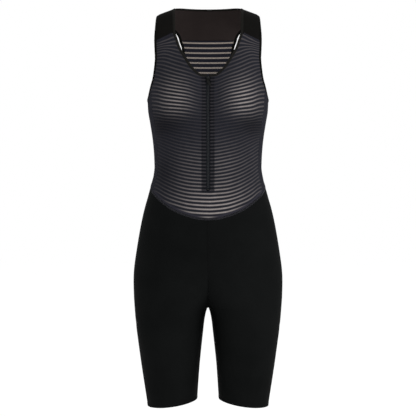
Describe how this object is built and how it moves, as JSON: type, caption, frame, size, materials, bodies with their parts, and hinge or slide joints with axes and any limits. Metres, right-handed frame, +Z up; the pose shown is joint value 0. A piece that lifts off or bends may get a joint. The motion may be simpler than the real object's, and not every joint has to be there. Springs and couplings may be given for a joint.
{
  "type": "cycling bib shorts",
  "caption": "Close-fitting black cycling shorts joined to a striped mesh racer-back top with a short front zip, open at neck, armholes and legs.",
  "frame": {"origin": "midway between the shoulders, level with the undersides of the straps, where a hanger or the wearer's shoulders hold it", "axes": "+X to the wearer's left, +Y to the wearer's back, +Z up; the front faces -Y"},
  "size_m": [0.3272, 0.2472, 0.8747],
  "materials": {
    "striped_mesh": "matt fine mesh, navy and taupe stripes",
    "plain_mesh": "matt plain dark mesh",
    "black_knit": "smooth black stretch knit with a faint sheen",
    "yoke_knit": "matt black stretch knit",
    "binding": "matt black folded binding",
    "zip_tape": "matt woven tape",
    "zip_plastic": "dark satin"
  },
  "bodies": {
    "garment": {"front_mesh": "striped_mesh", "back_mesh": "striped_mesh", "side_strip_l": "plain_mesh", "side_strip_r": "plain_mesh", "shoulder_yoke": "yoke_knit", "neck_binding": "binding", "armhole_binding_l": "binding", "armhole_binding_r": "binding", "shorts_l": "black_knit", "shorts_r": "black_knit", "zip_tape_l": "zip_tape", "zip_tape_r": "zip_tape", "zip_chain": "zip_plastic", "zip_stop": "zip_plastic", "zip_slider": "zip_plastic"},
    "pull_tab": {"zip_pull": "zip_plastic"}
  },
  "joints": [
    {"name": "pull_tab_swing", "type": "hinge", "parent": "garment", "child": "pull_tab", "pos_m": [0, -0.10913, -0.15215], "axis": [-1, 0, 0], "range_deg": [0, 150]}
  ]
}
